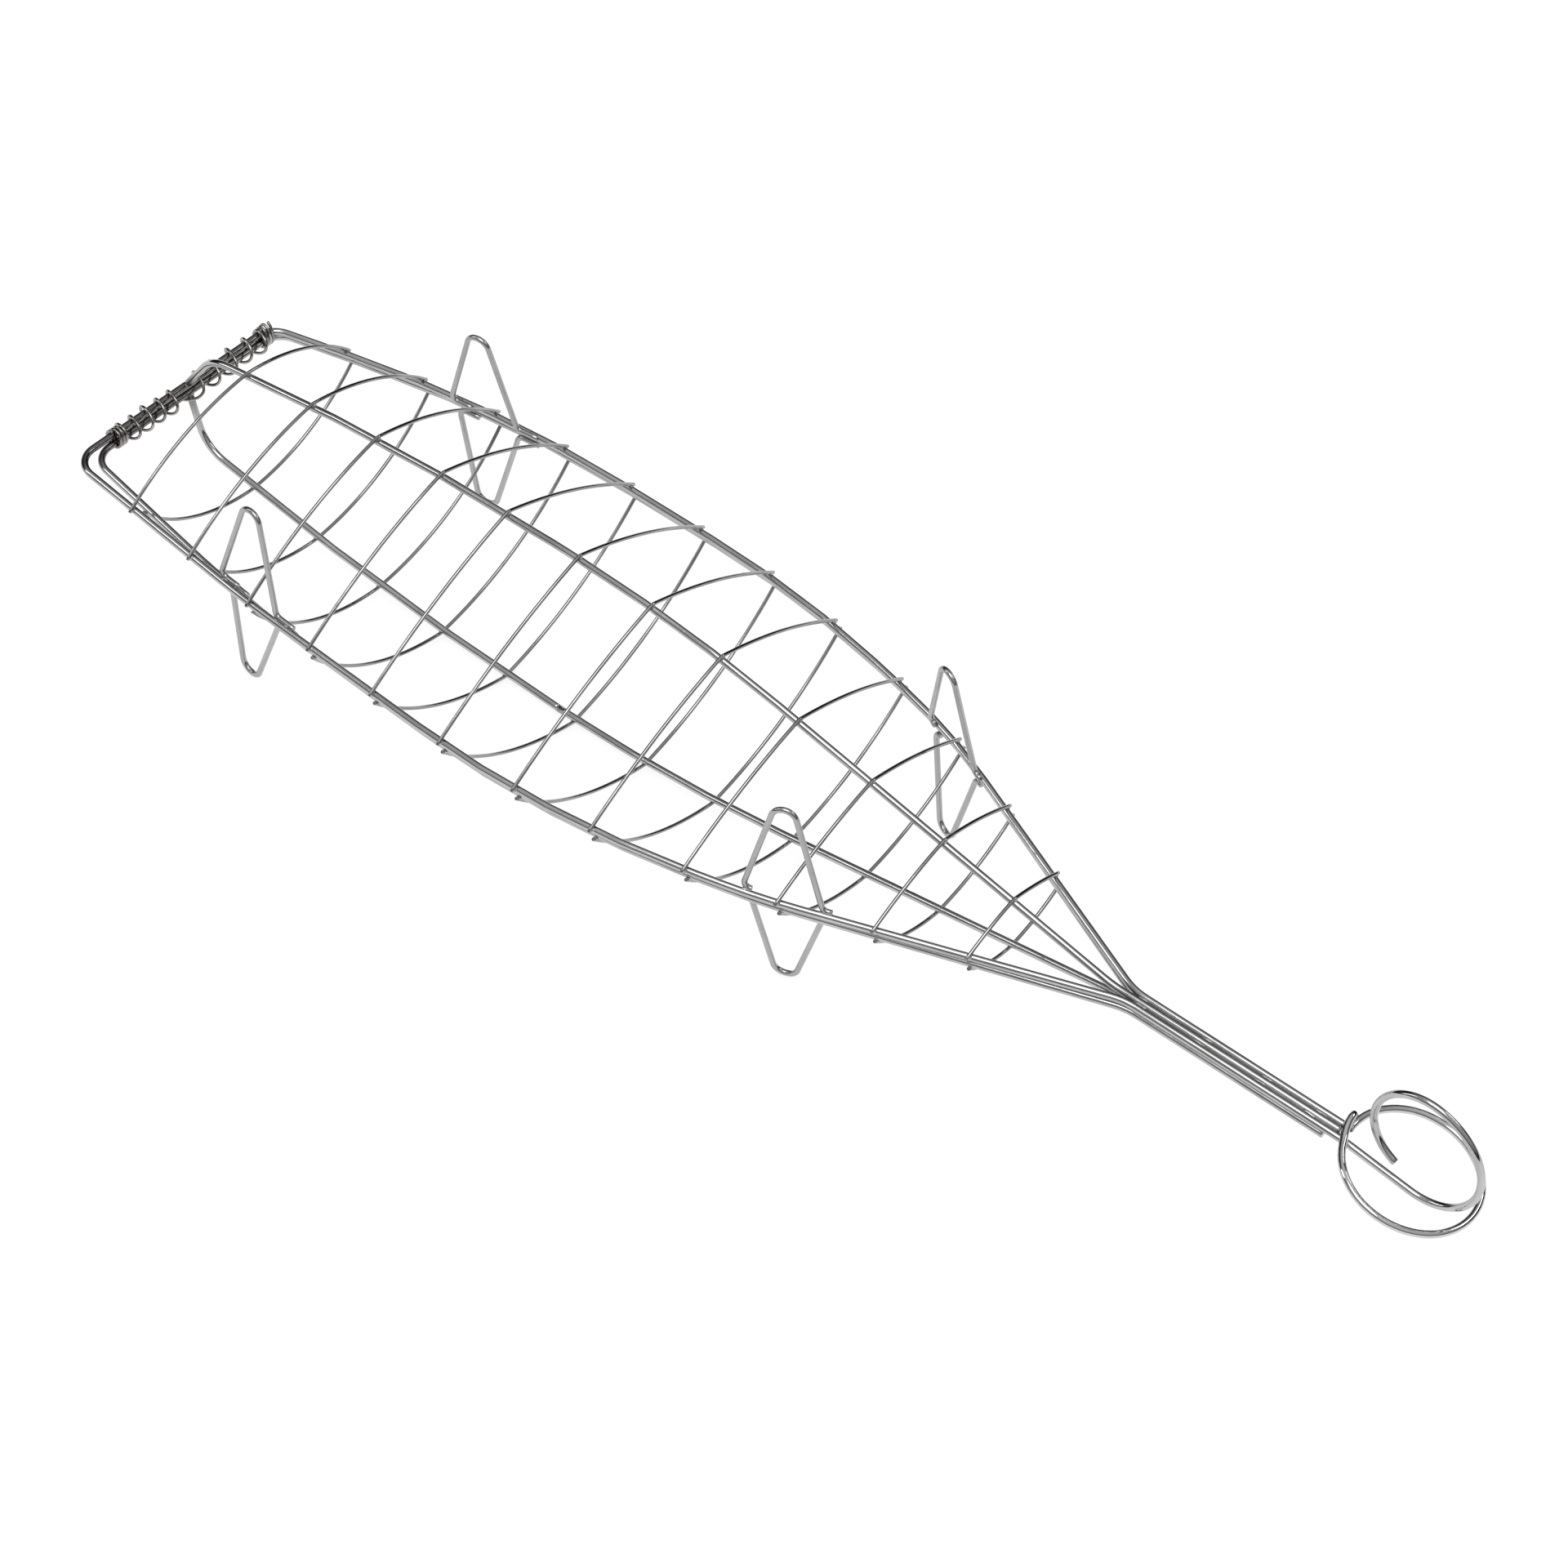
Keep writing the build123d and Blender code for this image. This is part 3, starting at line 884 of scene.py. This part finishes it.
def set_studio():
    """A plain pale floor, soft lights, and a studio that is pale to the eye and darker in the steel."""
    bpy.context.scene.view_settings.view_transform = "Standard"
    mesh = bpy.data.meshes.new("floor")
    reach = 6.0
    corners = [(-reach, -reach, 0), (reach, -reach, 0), (reach, reach, 0), (-reach, reach, 0)]
    mesh.from_pydata(corners, [], [(0, 1, 2, 3)])
    floor = bpy.data.objects.new("floor", mesh)
    bpy.context.scene.collection.objects.link(floor)
    material = bpy.data.materials.new("pale_floor")
    material.use_nodes = True
    shader = material.node_tree.nodes["Principled BSDF"]
    shader.inputs["Base Color"].default_value = (0.22, 0.22, 0.22, 1)
    shader.inputs["Roughness"].default_value = 0.9
    shader.inputs["Specular IOR Level"].default_value = 0.0
    shader.inputs["Emission Color"].default_value = (1, 1, 1, 1)
    shader.inputs["Emission Strength"].default_value = 0.78
    mesh.materials.append(material)

    softbox("overhead", (0.1, -0.5, 1.6), 0.9, 0.9, 9.0)
    softbox("side", (-1.6, -0.9, 1.2), 0.4, 1.2, 5.0)
    softbox("rear", (0.9, 1.5, 1.5), 1.0, 0.3, 5.0)
    set_world()


def sky_ramp(tree, height, stops):
    """Brightness by height: 0 straight down, 0.5 level, 1 straight up."""
    ramp = tree.nodes.new("ShaderNodeValToRGB")
    ramp.color_ramp.elements[0].position = stops[0][0]
    ramp.color_ramp.elements[1].position = stops[-1][0]
    for position, _ in stops[1:-1]:
        ramp.color_ramp.elements.new(position)
    for element, (_, value) in zip(ramp.color_ramp.elements, stops):
        element.color = (value, value, value, 1)
    tree.links.new(height, ramp.inputs["Fac"])
    return ramp.outputs["Color"]


def set_world():
    """A studio that is white to the eye; the steel sees it darker low down on the far side."""
    world = bpy.data.worlds.new("studio")
    bpy.context.scene.world = world
    world.use_nodes = True
    tree = world.node_tree
    tree.nodes.clear()
    output = tree.nodes.new("ShaderNodeOutputWorld")
    mix = tree.nodes.new("ShaderNodeMixShader")
    path = tree.nodes.new("ShaderNodeLightPath")
    plain = tree.nodes.new("ShaderNodeBackground")
    plain.inputs["Color"].default_value = (1, 1, 1, 1)
    plain.inputs["Strength"].default_value = 0.95
    shaded = tree.nodes.new("ShaderNodeBackground")
    where = tree.nodes.new("ShaderNodeTexCoord")
    split = tree.nodes.new("ShaderNodeSeparateXYZ")
    height = tree.nodes.new("ShaderNodeMapRange")
    height.inputs["From Min"].default_value = -1.0
    toward = tree.nodes.new("ShaderNodeVectorMath")
    toward.operation = "DOT_PRODUCT"
    toward.inputs[1].default_value = FAR_WAY
    side = tree.nodes.new("ShaderNodeMapRange")
    side.interpolation_type = "SMOOTHSTEP"
    side.inputs["From Min"].default_value = -SIDE_BLEND
    side.inputs["From Max"].default_value = SIDE_BLEND
    blend = tree.nodes.new("ShaderNodeMix")
    blend.data_type = "RGBA"
    tree.links.new(where.outputs["Generated"], split.inputs[0])
    tree.links.new(where.outputs["Generated"], toward.inputs[0])
    tree.links.new(split.outputs["Z"], height.inputs["Value"])
    tree.links.new(toward.outputs["Value"], side.inputs["Value"])
    tree.links.new(side.outputs["Result"], blend.inputs[0])
    level = height.outputs["Result"]
    near = sky_ramp(tree, level, NEAR_SKY)
    far = sky_ramp(tree, level, FAR_SKY)
    tree.links.new(near, blend.inputs[6])
    tree.links.new(far, blend.inputs[7])
    tree.links.new(blend.outputs[2], shaded.inputs["Color"])
    tree.links.new(path.outputs["Is Glossy Ray"], mix.inputs[0])
    tree.links.new(plain.outputs[0], mix.inputs[1])
    tree.links.new(shaded.outputs[0], mix.inputs[2])
    tree.links.new(mix.outputs[0], output.inputs["Surface"])


build()
set_camera()
set_studio()
